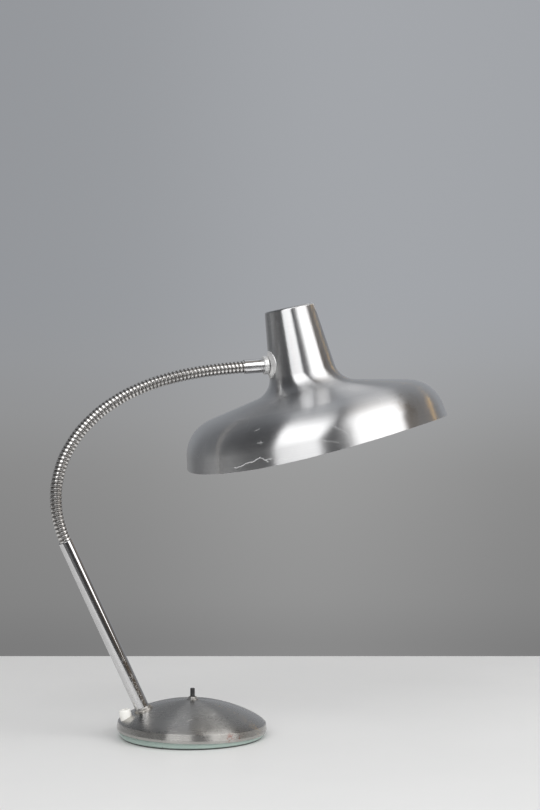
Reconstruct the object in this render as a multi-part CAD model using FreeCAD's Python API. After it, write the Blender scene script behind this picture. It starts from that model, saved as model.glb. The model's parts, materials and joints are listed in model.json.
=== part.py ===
import FreeCAD, Part
import math
import os

from FreeCAD import Placement, Rotation, Vector

# Gooseneck desk lamp, sizes in millimetres.
# The origin is the middle of the foot on the table, +Z is up and the lamp reaches out along +X.
# The stem, the neck and the shade lie in the XZ plane.

# Clearances
slide_fit = 0.05
seat_gap = 0.1

# Base: felt, a cast weight whose lip shows, and a domed cover over it
cover_radius = 90.8
cover_wall = 0.9
cover_height = 37.1
cover_crown_bow = 172.0
cover_edge_bow = 45.0
cover_shoulder_step = 11.5
weight_lip_step = 3.3
weight_lip_height = 6.1
weight_edge_round = 2.4
weight_block_height = 6.0
felt_step = 3.0
felt_thickness = 1.5

# Stem, which leans away from the shade, and what clamps it to the base
stem_edge_distance = 30.3
stem_lean_deg = 24.7
stem_radius = 8.7
stem_wall = 1.2
stem_length = 218.0
stem_seat = 3.0
foot_collar_radius = 12.0
foot_collar_height = 7.0
foot_collar_hollow = 1.5
foot_collar_hollow_step = 0.9
foot_plug_length = 14.0
foot_clamp_depth = 13.0
foot_nut_across = 17.0
foot_nut_height = 5.0
foot_washer_radius = 11.0
foot_washer_thickness = 1.6
foot_washer_room = 1.0
foot_boss_wall = 3.0
foot_nipple_drop = 2.0
foot_nipple_tail = 1.0

# Threaded nipples that hold the stem, the shade and the lampholder
nipple_radius = 5.0
nipple_bore = 3.4

# Push switch at the crown of the base
button_radius = 2.9
button_height = 10.2
button_edge_round = 0.7
switch_bush_wall = 0.9
switch_bush_drop = 0.5
switch_nut_radius = 6.6
switch_nut_waist_radius = 5.2
switch_nut_top_radius = 4.5
switch_nut_height = 3.2
switch_flange_height = 0.8
switch_body_radius = 11.0
switch_body_height = 17.0
switch_body_wall = 1.6
switch_well_room = 3.0
plunger_foot_radius = 4.4
plunger_foot_height = 2.0
plunger_room = 0.6
spring_radius = 2.6
spring_wall = 0.7
terminal_radius = 1.6
terminal_length = 4.0
terminal_head_step = 0.9
terminal_head_height = 1.4
terminal_spread = 6.5

# Cord bush at the back of the base, just beyond the stem
gland_distance = 2.1
gland_lean_deg = 12.0
gland_radius = 6.4
gland_height = 15.5
gland_edge_round = 0.9
gland_bore = 3.6
gland_shank_radius = 4.9
gland_shank_tail = 0.5
gland_nut_radius = 8.0
gland_nut_depth = 7.6
gland_nut_room = 1.5

# Gooseneck: a wire wound over a liner, in links that bend at hinges
neck_length = 371.0
neck_joints = 10
turns_per_link = 8.25
neck_radius = 7.5
wire_radius = 1.35
wire_sides = 4
wire_end_gap = 0.3
liner_gap = 0.45
liner_wall = 1.35
liner_end_gap = 0.65
socket_length = 16.0
# Bend of the neck at rest: a share of its length, and degrees of bend for a whole length
neck_bends = ((0.0, 107.2), (0.2, 195.1), (0.45, 128.0), (0.7, 75.7), (1.0, 9.9))

# Ferrule and swivel between neck and shade
ferrule_wall = 1.1
ferrule_length = 22.0
ferrule_overlap = 2.0
ferrule_plug_length = 8.0
collar_radius = 11.4
collar_length = 6.0
collar_edge_round = 1.2
collar_spigot_length = 5.0
swivel_head_step = 1.6
swivel_head_length = 2.0
swivel_nut_across = 17.0
swivel_nut_height = 4.0
swivel_tail = 2.0
saddle_radius = 17.5
saddle_thickness = 2.6
saddle_face_step = 1.2
saddle_flare_deg = 49.2
inner_saddle_radius = 14.0
inner_saddle_thickness = 1.2

# Shade: corners of its outline before they are rounded, heights above the rim
shade_wall = 1.0
shade_rim_radius = 164.1
shade_flare = 7.9
shade_shoulder_height = 47.4
shade_neck_radius = 43.6
shade_neck_foot_height = 71.6
shade_top_radius = 30.8
shade_height = 171.2
shoulder_round = 46.0
neck_round = 28.0
top_round = 3.0
swivel_height = 107.0

# Lampholder on a bracket, and the bulb, on the shade's own axis
bracket_width = 16.0
bracket_thickness = 2.0
bracket_foot = 12.0
bracket_top_room = 14.2
holder_radius = 20.0
holder_wall = 1.8
holder_length = 46.0
holder_cap_height = 12.0
holder_cap_top_radius = 9.0
holder_nipple_length = 13.0
holder_nipple_tail = 4.0
holder_nut_across = 15.0
holder_nut_height = 3.4
holder_core_gap = 1.4
holder_core_height = 9.0
holder_ring_height = 6.0
thread_gap = 0.4
thread_wall = 0.7
thread_rise = 2.0
contact_radius = 4.5
contact_height = 2.0
bulb_cap_radius = 13.2
bulb_cap_length = 25.0
bulb_cap_wall = 0.6
bulb_cap_taper = 4.0
bulb_neck_radius = 14.0
bulb_radius = 30.0
bulb_length = 82.0
bulb_wall = 1.0
bulb_shoulder_bow = 24.0

# Sizes that follow from those above
weight_radius = cover_radius - weight_lip_step
felt_radius = weight_radius - felt_step
cover_shoulder_radius = cover_radius - cover_shoulder_step
weight_lip_top = felt_thickness + weight_lip_height
cover_top = weight_lip_top + cover_height
stem_foot_radius = cover_radius - stem_edge_distance
stem_inner_radius = stem_radius - stem_wall
gland_foot_radius = stem_foot_radius + foot_collar_radius + gland_distance + gland_radius
nipple_hole_radius = nipple_radius + slide_fit
link_length = neck_length / neck_joints
wind_pitch = link_length / turns_per_link
wind_radius = neck_radius - wire_radius
wind_phase = math.pi / 2 - math.pi * turns_per_link
liner_radius = wind_radius - wire_radius - liner_gap
liner_bore = liner_radius - liner_wall
ferrule_bore = neck_radius + seat_gap
shade_wall_start = ferrule_length + collar_length + saddle_thickness
bracket_top_height = shade_height - bracket_top_room


def export(name, shape):
    os.makedirs("parts", exist_ok=True)
    shape.exportStep("parts/" + name + ".step")


def turned(angle_deg, origin):
    """Placement whose +Z leans by the angle from vertical towards +X, at the origin given."""
    return Placement(origin, Rotation(Vector(0, 1, 0), angle_deg))


def at(shape, place):
    shape = shape.copy()
    shape.Placement = place.multiply(shape.Placement)
    return shape


def rod(radius, start, length):
    return Part.makeCylinder(radius, length, Vector(0, 0, start))


def tube(outer, inner, start, length):
    return rod(outer, start, length).cut(rod(inner, start, length))


def drill(radius, reach, place):
    """A round cutter that reaches equally far both ways from a place."""
    return at(rod(radius, -reach, 2 * reach), place)


def box_between(x_low, x_high, width, bottom, top):
    return Part.makeBox(x_high - x_low, width, top - bottom, Vector(x_low, -width / 2, bottom))


def rounded_at(shape, rounding, height):
    """The shape with its flat edges at one height rounded."""
    edges = []
    for edge in shape.Edges:
        box = edge.BoundBox
        if box.ZLength < seat_gap and abs(box.ZMin - height) < seat_gap:
            edges.append(edge)
    return shape.makeFillet(rounding, edges)


def hex_nut(across, inner, start, height):
    corner = across / 2 / math.cos(math.radians(30))
    points = []
    for side in range(7):
        angle = math.radians(60 * side)
        points.append(Vector(corner * math.cos(angle), corner * math.sin(angle), start))
    body = Part.Face(Part.makePolygon(points)).extrude(Vector(0, 0, height))
    chamfer = Part.makeCone(corner + height, across / 2, height, Vector(0, 0, start))
    return body.common(chamfer).cut(rod(inner, start, height))


def revolved(edges):
    return Part.Face(Part.Wire(edges)).revolve(Vector(0, 0, 0), Vector(0, 0, 1), 360)


def line(start, end):
    return Part.makeLine(Vector(start[0], 0, start[1]), Vector(end[0], 0, end[1]))


def straight_edges(points):
    return [line(a, b) for a, b in zip(points, points[1:])]


# Base

def cover_centres():
    """Centres of the dome's crown arc and edge arc, and the angle of the shoulder where they meet."""
    crown = Vector(0, 0, cover_top - cover_crown_bow)
    lean = math.asin(cover_shoulder_radius / cover_crown_bow)
    edge = crown + Vector(math.sin(lean), 0, math.cos(lean)) * (cover_crown_bow - cover_edge_bow)
    return crown, edge, lean


def dome_point(radius):
    """Point of the dome's outer face on the stem's side."""
    centre, edge, _ = cover_centres()
    bow = cover_crown_bow
    if radius > cover_shoulder_radius:
        centre = edge
        bow = cover_edge_bow
    return Vector(-radius, 0, centre.z + math.sqrt(bow ** 2 - (radius - centre.x) ** 2))


def cover_block(inset, bottom):
    """The solid inside the cover's outline, moved in by the inset, down to the height given."""
    crown, edge, lean = cover_centres()
    crown_bow = cover_crown_bow - inset
    edge_bow = cover_edge_bow - inset
    end = math.asin((cover_radius - inset - edge.x) / edge_bow)
    stations = ((crown, crown_bow, 0), (crown, crown_bow, lean / 2), (crown, crown_bow, lean),
                (edge, edge_bow, (lean + end) / 2), (edge, edge_bow, end))
    points = [centre + Vector(math.sin(turn), 0, math.cos(turn)) * bow for centre, bow, turn in stations]
    top, middle, shoulder, side, rim = points
    dome = [Part.Arc(top, middle, shoulder).toShape(), Part.Arc(shoulder, side, rim).toShape()]
    return revolved(dome + straight_edges([(rim.x, rim.z), (rim.x, bottom), (0, bottom), (0, top.z)]))


def trimmed_to_cover(shape):
    """What of a shape stands on the cover's outer face."""
    return shape.cut(cover_block(-seat_gap / 2, 0))


def stem_place():
    return turned(-stem_lean_deg, dome_point(stem_foot_radius))


def gland_place():
    return turned(-gland_lean_deg, dome_point(gland_foot_radius))


def make_weight():
    """Cast iron: a lip that shows below the cover, a block inside it and a boss that the stem clamps."""
    lip = rounded_at(rod(weight_radius, felt_thickness, weight_lip_height), weight_edge_round, felt_thickness)
    inside = cover_block(cover_wall + seat_gap, weight_lip_top)
    room = rod(cover_radius, weight_lip_top, cover_height)
    pocket_radius = foot_washer_radius + foot_washer_room
    boss = drill(pocket_radius + foot_boss_wall, cover_height, stem_place()).common(room)
    body = lip.fuse(inside.common(rod(cover_radius, weight_lip_top, weight_block_height).fuse(boss)))
    pocket = at(rod(pocket_radius, -2 * cover_height, 2 * cover_height - foot_clamp_depth), stem_place())
    well = rod(switch_body_radius + switch_well_room, weight_lip_top, cover_height)
    gland_space = drill(gland_nut_radius + gland_nut_room, cover_height, gland_place()).common(room)
    body = body.cut(pocket).cut(drill(nipple_hole_radius, 2 * cover_height, stem_place()))
    return body.cut(well).cut(gland_space).removeSplitter()


def make_cover():
    shell = cover_block(0, weight_lip_top).cut(cover_block(cover_wall, weight_lip_top))
    shell = shell.cut(drill(nipple_hole_radius, 2 * nipple_radius, stem_place()))
    shell = shell.cut(drill(gland_shank_radius + slide_fit, 2 * gland_shank_radius, gland_place()))
    return shell.cut(rod(button_radius + switch_bush_wall + slide_fit, weight_lip_top, cover_height))


def make_foot_collar(place):
    """A collar that stands on the dome, holds the stem's end and is hollowed at its top edge."""
    collar = tube(foot_collar_radius, nipple_hole_radius, -foot_collar_radius,
                  foot_collar_radius + foot_collar_height)
    collar = collar.cut(rod(stem_radius + slide_fit, stem_seat, foot_collar_height))
    hollow = Part.makeTorus(foot_collar_radius + foot_collar_hollow_step, foot_collar_hollow,
                            Vector(0, 0, foot_collar_height), Vector(0, 0, 1))
    return trimmed_to_cover(at(collar.cut(hollow), place))


def make_stem_pieces():
    place = stem_place()
    washer_top = -foot_clamp_depth - seat_gap
    nut_top = washer_top - foot_washer_thickness - seat_gap
    nipple_bottom = nut_top - foot_nut_height - foot_nipple_tail
    nipple_top = stem_seat + foot_plug_length - foot_nipple_drop
    plug_radius = stem_inner_radius - slide_fit
    washer = tube(foot_washer_radius, nipple_hole_radius, washer_top - foot_washer_thickness,
                  foot_washer_thickness)
    nut = hex_nut(foot_nut_across, nipple_hole_radius, nut_top - foot_nut_height, foot_nut_height)
    stem = tube(stem_radius, stem_inner_radius, stem_seat + seat_gap, stem_length - stem_seat - seat_gap)
    socket = tube(plug_radius, liner_radius + slide_fit, stem_length - socket_length, socket_length)
    export("foot_collar", make_foot_collar(place))
    export("foot_plug", at(tube(plug_radius, nipple_hole_radius, stem_seat, foot_plug_length), place))
    export("foot_nipple", at(tube(nipple_radius, nipple_bore, nipple_bottom, nipple_top - nipple_bottom), place))
    export("foot_washer", at(washer, place))
    export("foot_nut", at(nut, place))
    export("stem_tube", at(stem, place))
    export("neck_socket", at(socket, place))


# Switch

def make_switch_nut(bush_radius):
    bore = bush_radius + slide_fit
    flange = tube(switch_nut_radius, bore, cover_top - switch_nut_height, switch_nut_height + switch_flange_height)
    cone_start = cover_top + switch_flange_height
    cone_height = switch_nut_height - switch_flange_height
    cone = Part.makeCone(switch_nut_waist_radius, switch_nut_top_radius, cone_height, Vector(0, 0, cone_start))
    cone = cone.cut(rod(bore, cone_start, cone_height))
    return trimmed_to_cover(flange.fuse(cone).removeSplitter())


def make_terminals(bottom):
    screw = rod(terminal_radius, bottom - terminal_length, terminal_length - seat_gap)
    head_bottom = bottom - terminal_length - terminal_head_height
    screw = screw.fuse(rod(terminal_radius + terminal_head_step, head_bottom, terminal_head_height))
    places = [Placement(Vector(side * terminal_spread, 0, 0), Rotation()) for side in (-1, 1)]
    return Part.makeCompound([at(screw, place) for place in places])


def make_switch_pieces():
    bush_radius = button_radius + switch_bush_wall
    sag = cover_crown_bow - math.sqrt(cover_crown_bow ** 2 - switch_body_radius ** 2)
    body_top = cover_top - cover_wall - seat_gap - sag
    body_bottom = body_top - switch_body_height
    room_bottom = body_bottom + switch_body_wall
    room_top = body_top - switch_body_wall
    bush_top = cover_top + switch_nut_height - switch_bush_drop
    housing = rod(switch_body_radius, body_bottom, switch_body_height)
    housing = housing.fuse(rod(bush_radius, body_top, bush_top - body_top))
    housing = housing.cut(rod(plunger_foot_radius + plunger_room, room_bottom, room_top - room_bottom))
    housing = housing.cut(rod(button_radius + slide_fit, room_top, bush_top - room_top)).removeSplitter()
    button_top = cover_top + switch_nut_height + button_height
    foot_top = room_top - seat_gap
    foot_bottom = foot_top - plunger_foot_height
    button = rounded_at(rod(button_radius, foot_top, button_top - foot_top), button_edge_round, button_top)
    button = button.fuse(rod(plunger_foot_radius, foot_bottom, plunger_foot_height)).removeSplitter()
    spring_bottom = room_bottom + seat_gap
    spring = tube(spring_radius, spring_radius - spring_wall, spring_bottom, foot_bottom - seat_gap - spring_bottom)
    export("switch_nut", make_switch_nut(bush_radius))
    export("switch_housing", housing)
    export("switch_button", button)
    export("switch_spring", spring)
    export("switch_terminals", make_terminals(body_bottom))


def make_gland_pieces():
    place = gland_place()
    head = rounded_at(rod(gland_radius, -gland_radius, gland_radius + gland_height), gland_edge_round, gland_height)
    shank_bottom = -gland_nut_depth - gland_shank_tail
    shank = at(rod(gland_shank_radius, shank_bottom, gland_height / 2 - shank_bottom), place)
    gland = trimmed_to_cover(at(head, place)).fuse(shank)
    nut = tube(gland_nut_radius, gland_shank_radius + slide_fit, -gland_nut_depth, 2 * gland_nut_depth)
    nut = at(nut, place).common(cover_block(cover_wall + seat_gap, weight_lip_top))
    export("cord_gland", gland.cut(drill(gland_bore, 2 * gland_height, place)).removeSplitter())
    export("gland_nut", nut)


# Gooseneck

def bend_at(share):
    """Bend of the neck at rest, in degrees for a whole length, at a share of its length."""
    for (a, bend_a), (b, bend_b) in zip(neck_bends, neck_bends[1:]):
        if share <= b:
            return bend_a + (bend_b - bend_a) * (share - a) / (b - a)
    return neck_bends[-1][1]


def neck_stations():
    """Both ends of the neck and its hinges, as distances along it."""
    return [0.0] + [link_length * (k + 0.5) for k in range(neck_joints)] + [neck_length]


def neck_arcs():
    """The resting centre line as one arc for each link: (start, length, x, z, heading, bend), in radians."""
    top = stem_place().multVec(Vector(0, 0, stem_length))
    x, z = top.x, top.z
    heading = math.radians(90 + stem_lean_deg)
    stations = neck_stations()
    arcs = []
    for start, end in zip(stations, stations[1:]):
        share = (start + end) / 2 / neck_length
        length = end - start
        bend = math.radians(bend_at(share) * length / neck_length)
        arcs.append((start, length, x, z, heading, bend))
        radius = length / bend
        x += radius * (math.sin(heading) - math.sin(heading - bend))
        z += radius * (math.cos(heading - bend) - math.cos(heading))
        heading -= bend
    return arcs


def neck_frame(arcs, along):
    """Centre, direction and upper side of the neck at a distance along it."""
    reached = [arc for arc in arcs if arc[0] <= along]
    start, length, x, z, heading, bend = reached[-1] if reached else arcs[0]
    part = along - start
    turn = bend * min(part / length, 1.0)
    radius = length / bend
    centre = Vector(x + radius * (math.sin(heading) - math.sin(heading - turn)), 0,
                    z + radius * (math.cos(heading - turn) - math.cos(heading)))
    heading -= turn
    forward = Vector(math.cos(heading), 0, math.sin(heading))
    upper = Vector(-math.sin(heading), 0, math.cos(heading))
    return centre + forward * max(part - length, 0.0), forward, upper


def wire_point(arcs, angle):
    """A point of the wire's centre line: the angle runs on by one turn for each pitch.
    The phase brings the wire onto the axis of each hinge that it is cut at."""
    centre, _, upper = neck_frame(arcs, angle / (2 * math.pi) * wind_pitch)
    around = angle + wind_phase
    return centre + upper * (wind_radius * math.cos(around)) + Vector(0, wind_radius * math.sin(around), 0)


def wire_direction(arcs, angle):
    step = 1e-4
    along = wire_point(arcs, angle + step) - wire_point(arcs, angle - step)
    return along.normalize()


def arc_between(start, direction, end):
    """The arc that leaves start in the direction given and reaches end."""
    chord = end - start
    across = direction - chord * (direction.dot(chord) / chord.dot(chord))
    half_turn = math.acos(min(1.0, direction.dot(chord) / chord.Length))
    rise = chord.Length / 2 * math.tan(half_turn / 2)
    middle = (start + end) * 0.5 + across.normalize() * rise
    return Part.Arc(start, middle, end).toShape()


def biarc(start, start_direction, end, end_direction):
    """Two arcs that join tangent and leave both ends in the directions given."""
    chord = end - start
    total = start_direction + end_direction
    a = 2 * (1 - start_direction.dot(end_direction))
    b = -2 * chord.dot(total)
    reach = 2 * chord.dot(chord) / (math.sqrt(b * b + 4 * a * chord.dot(chord)) - b)
    join = (start + start_direction * reach + end - end_direction * reach) * 0.5
    return [arc_between(start, start_direction, join), arc_between(end, end_direction * -1, join)]


def wire_section(arcs, angle):
    """The wire's cross section, a polygon with few sides, square to the wire."""
    centre = neck_frame(arcs, angle / (2 * math.pi) * wind_pitch)[0]
    middle = wire_point(arcs, angle)
    outward = (middle - centre).normalize() * wire_radius
    sideways = wire_direction(arcs, angle).cross(outward).normalize() * wire_radius
    corners = []
    for side in range(wire_sides + 1):
        turn = 2 * math.pi * side / wire_sides
        corners.append(middle + outward * math.cos(turn) + sideways * math.sin(turn))
    return Part.makePolygon(corners)


def winding(arcs, start, end):
    """One unbroken wire between two distances along the neck."""
    first = 2 * math.pi * start / wind_pitch
    last = 2 * math.pi * end / wind_pitch
    pieces = round((last - first) / math.pi)
    edges = []
    for k in range(pieces):
        a = first + (last - first) * k / pieces
        b = first + (last - first) * (k + 1) / pieces
        edges += biarc(wire_point(arcs, a), wire_direction(arcs, a), wire_point(arcs, b), wire_direction(arcs, b))
    path = Part.Wire(Part.__sortEdges__(edges))
    return path.makePipeShell([wire_section(arcs, first)], True, False)


def least_gap(arcs):
    """The least gap between two turns of the winding, measured on points."""
    least = wind_pitch
    steps = 24
    for k in range(int(steps * (neck_length / wind_pitch - 1))):
        angle = 2 * math.pi * k / steps
        distance = (wire_point(arcs, angle + 2 * math.pi) - wire_point(arcs, angle)).Length
        least = min(least, distance - 2 * wire_radius)
    return least


def swept_tube(arcs, outer, inner, start, end):
    """A tube along the neck's centre line."""
    cuts = [start] + [arc[0] for arc in arcs if start < arc[0] < end] + [end]
    edges = []
    for a, b in zip(cuts, cuts[1:]):
        points = [neck_frame(arcs, along)[0] for along in (a, (a + b) / 2, b)]
        edges.append(Part.Arc(*points).toShape())
    path = Part.Wire(edges)
    centre, forward, _ = neck_frame(arcs, start)
    body = path.makePipeShell([Part.Wire(Part.makeCircle(outer, centre, forward))], True, False)
    return body.cut(path.makePipeShell([Part.Wire(Part.makeCircle(inner, centre, forward))], True, False))


def make_neck(arcs):
    """Each link is cut at the hinges; its wire and its liner stop short of the next link's."""
    stations = neck_stations()
    wire_trims = [wire_end_gap / (2 * math.pi * wind_radius) * wind_pitch] * len(stations)
    liner_trims = [liner_end_gap] * len(stations)
    wire_trims[0] = wire_trims[-1] = wire_radius + seat_gap
    liner_trims[0] = liner_trims[-1] = seat_gap
    for k in range(neck_joints + 1):
        start, end = stations[k], stations[k + 1]
        wire = winding(arcs, start + wire_trims[k], end - wire_trims[k + 1])
        liner = swept_tube(arcs, liner_radius, liner_bore, start + liner_trims[k], end - liner_trims[k + 1])
        export("neck_winding_%02d" % k, wire)
        export("neck_liner_%02d" % k, liner)


# Ferrule, swivel and shade

def neck_end_heading(arcs):
    forward = neck_frame(arcs, neck_length)[1]
    return math.degrees(math.atan2(forward.z, forward.x))


def neck_end_place(arcs):
    return turned(90 - neck_end_heading(arcs), neck_frame(arcs, neck_length)[0])


def unit(a, b):
    length = math.hypot(b[0] - a[0], b[1] - a[1])
    return ((b[0] - a[0]) / length, (b[1] - a[1]) / length)


def inset_corners(corners, inset):
    """The outline moved inwards by a wall: each side stays parallel."""
    sides = [unit(a, b) for a, b in zip(corners, corners[1:])]
    moved = []
    for corner, before, after in zip(corners, sides[:1] + sides, sides + sides[-1:]):
        turn = before[0] * after[1] - before[1] * after[0]
        share = (1 - before[0] * after[0] - before[1] * after[1]) / turn if turn else 0.0
        moved.append((corner[0] - inset * (before[1] + before[0] * share),
                      corner[1] + inset * (before[0] - before[1] * share)))
    return moved


def rounded_outline(corners, rounds):
    """Lines between the corners, with an arc of the given radius at each inner corner."""
    edges = []
    last = corners[0]
    for before_corner, corner, after_corner, rounding in zip(corners, corners[1:], corners[2:], rounds):
        before = unit(before_corner, corner)
        after = unit(corner, after_corner)
        turn = math.acos(before[0] * after[0] + before[1] * after[1])
        reach = rounding * math.tan(turn / 2)
        first = (corner[0] - before[0] * reach, corner[1] - before[1] * reach)
        second = (corner[0] + after[0] * reach, corner[1] + after[1] * reach)
        across = (after[0] - before[0], after[1] - before[1])
        bow = rounding * (1 / math.cos(turn / 2) - 1) / math.hypot(*across)
        edges.append(line(last, first))
        edges.append(Part.Arc(Vector(first[0], 0, first[1]),
                              Vector(corner[0] + across[0] * bow, 0, corner[1] + across[1] * bow),
                              Vector(second[0], 0, second[1])).toShape())
        last = second
    edges.append(line(last, corners[-1]))
    return edges


def shade_block(inset):
    """The solid inside the shade's outline, open side down."""
    corners = [(shade_rim_radius, 0), (shade_rim_radius - shade_flare, shade_shoulder_height),
               (shade_neck_radius, shade_neck_foot_height), (shade_top_radius, shade_height), (0, shade_height)]
    rounds = [shoulder_round - inset, neck_round + inset, top_round - inset]
    moved = inset_corners(corners, inset)
    start = moved[0]
    closing = straight_edges([moved[-1], (0, start[1]), start])
    return revolved(rounded_outline(moved, rounds) + closing)


def shade_place(arcs):
    """The shade hangs with the wall of its neck square to the ferrule, beyond the collar and the saddle."""
    narrowing = (shade_neck_radius - shade_top_radius) / (shade_height - shade_neck_foot_height)
    wall_radius = shade_neck_radius - (swivel_height - shade_neck_foot_height) * narrowing
    tilt_deg = neck_end_heading(arcs) + math.degrees(math.atan(narrowing))
    tilted = Rotation(Vector(0, 1, 0), -tilt_deg)
    wall_point = neck_end_place(arcs).multVec(Vector(0, 0, shade_wall_start))
    return Placement(wall_point - tilted.multVec(Vector(-wall_radius, 0, swivel_height)), tilted)


def make_shade(arcs, shade_at):
    lip = rod(2 * shade_rim_radius, -shade_height, shade_height)
    shell = shade_block(0).cut(shade_block(shade_wall)).cut(lip)
    hole = drill(nipple_hole_radius, 2 * shade_wall_start, neck_end_place(arcs))
    near_side = box_between(-shade_rim_radius, 0, 4 * nipple_radius, 0, shade_height)
    export("shade", at(shell, shade_at).cut(hole.common(at(near_side, shade_at))))


def make_collar():
    start = ferrule_length + seat_gap
    end = ferrule_length + collar_length - seat_gap
    ring = rounded_at(rod(collar_radius, start, end - start), collar_edge_round, start)
    ring = rounded_at(ring, collar_edge_round, end)
    spigot = rod(ferrule_bore - slide_fit, ferrule_length - collar_spigot_length, collar_spigot_length + seat_gap)
    return ring.fuse(spigot).cut(drill(nipple_hole_radius, end, Placement())).removeSplitter()


def make_saddle(place, shade_at):
    """A flared ring between the collar and the shade, shaped to the shade's neck."""
    start = shade_wall_start - saddle_thickness
    face_radius = collar_radius + saddle_face_step
    flared_radius = face_radius + saddle_radius * math.tan(math.radians(saddle_flare_deg))
    flare = Part.makeCone(face_radius, flared_radius, saddle_radius, Vector(0, 0, start))
    ring = tube(saddle_radius, nipple_hole_radius, start, saddle_radius).common(flare)
    return at(ring, place).cut(at(shade_block(-seat_gap), shade_at))


def make_swivel_pieces(arcs, shade_at):
    place = neck_end_place(arcs)
    ferrule = tube(ferrule_bore + ferrule_wall, ferrule_bore, -ferrule_overlap, ferrule_length + ferrule_overlap)
    plug = tube(ferrule_bore - slide_fit, liner_bore, seat_gap, ferrule_plug_length)
    inner_saddle_end = shade_wall_start + shade_wall + inner_saddle_thickness
    inner_saddle = tube(inner_saddle_radius, nipple_hole_radius, ferrule_length, inner_saddle_end - ferrule_length)
    inner_saddle = at(inner_saddle, place).common(at(shade_block(shade_wall + seat_gap), shade_at))
    leg_start = inner_saddle_end + seat_gap
    nut_start = leg_start + bracket_thickness + seat_gap
    nut = hex_nut(swivel_nut_across, nipple_hole_radius, nut_start, swivel_nut_height)
    head_start = ferrule_length - collar_spigot_length - seat_gap - swivel_head_length
    nipple_end = nut_start + swivel_nut_height + swivel_tail
    nipple = rod(nipple_radius, head_start, nipple_end - head_start)
    nipple = nipple.fuse(rod(nipple_radius + swivel_head_step, head_start, swivel_head_length))
    nipple = nipple.cut(rod(nipple_bore, head_start, nipple_end - head_start)).removeSplitter()
    export("neck_ferrule", at(ferrule, place))
    export("ferrule_plug", at(plug, place))
    export("swivel_collar", at(make_collar(), place))
    export("swivel_nipple", at(nipple, place))
    export("shade_saddle", make_saddle(place, shade_at))
    export("inner_saddle", inner_saddle)
    export("swivel_nut", at(nut, place))
    export("holder_bracket", make_bracket(place, shade_at, leg_start))


def make_bracket(place, shade_at, leg_start):
    """A strap from the swivel up inside the shade's neck, folded over to carry the lampholder."""
    top_end = bracket_top_height + bracket_thickness
    leg = box_between(-shade_height, bracket_foot, bracket_width, leg_start, leg_start + bracket_thickness)
    arm = box_between(-shade_height, bracket_width / 2, bracket_width, bracket_top_height, top_end)
    below_top = box_between(-shade_height, shade_height, 2 * bracket_width, 0, top_end)
    inner_side = box_between(-shade_height, shade_height, 2 * bracket_width, leg_start, leg_start + shade_height)
    leg = at(leg, place).common(at(below_top, shade_at))
    arm = at(arm, shade_at).common(at(inner_side, place))
    bracket = leg.fuse(arm).cut(drill(nipple_hole_radius, leg_start + nipple_radius, place))
    arm_hole = rod(nipple_hole_radius, bracket_top_height - nipple_radius, 2 * nipple_radius)
    return bracket.cut(at(arm_hole, shade_at)).removeSplitter()


# Lampholder and bulb

def make_holder_cap(bottom):
    cap = Part.makeCone(holder_radius, holder_cap_top_radius, holder_cap_height, Vector(0, 0, bottom))
    hollow = Part.makeCone(holder_radius - holder_wall, holder_cap_top_radius - holder_wall,
                           holder_cap_height - holder_wall, Vector(0, 0, bottom))
    return cap.cut(hollow).cut(rod(nipple_hole_radius, bottom, holder_cap_height))


def bulb_cap_block(bottom, top, inset):
    """The solid inside the bulb's cap: a straight side and a tapered end."""
    taper_start = top - bulb_cap_taper
    side = rod(bulb_cap_radius - inset, bottom, taper_start - bottom)
    taper = Part.makeCone(bulb_cap_radius - inset, contact_radius - inset, bulb_cap_taper - inset,
                          Vector(0, 0, taper_start))
    return side.fuse(taper).removeSplitter()


def bulb_block(top, inset):
    """The solid inside the bulb's outline: neck, shoulder and round end, hanging from the height given."""
    bow = bulb_radius - inset
    waist = bulb_shoulder_bow + inset
    neck = bulb_neck_radius - inset
    centre = top - bulb_length + bulb_radius
    side = math.asin((neck + waist) / (bow + waist))
    join = Vector(bow * math.sin(side), 0, centre + bow * math.cos(side))
    neck_bottom = centre + (bow + waist) * math.cos(side)
    halfway = math.pi / 4 - side / 2
    waist_point = Vector(neck + waist - waist * math.cos(halfway), 0, neck_bottom - waist * math.sin(halfway))
    shoulder = Part.Arc(Vector(neck, 0, neck_bottom), waist_point, join)
    low_turn = (math.pi + side) / 2
    low = Vector(bow * math.sin(low_turn), 0, centre + bow * math.cos(low_turn))
    ball = Part.Arc(join, low, Vector(0, 0, centre - bow))
    neck_edges = straight_edges([(0, top), (neck, top), (neck, neck_bottom)])
    return revolved(neck_edges + [shoulder.toShape(), ball.toShape(), line((0, centre - bow), (0, top))])


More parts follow.
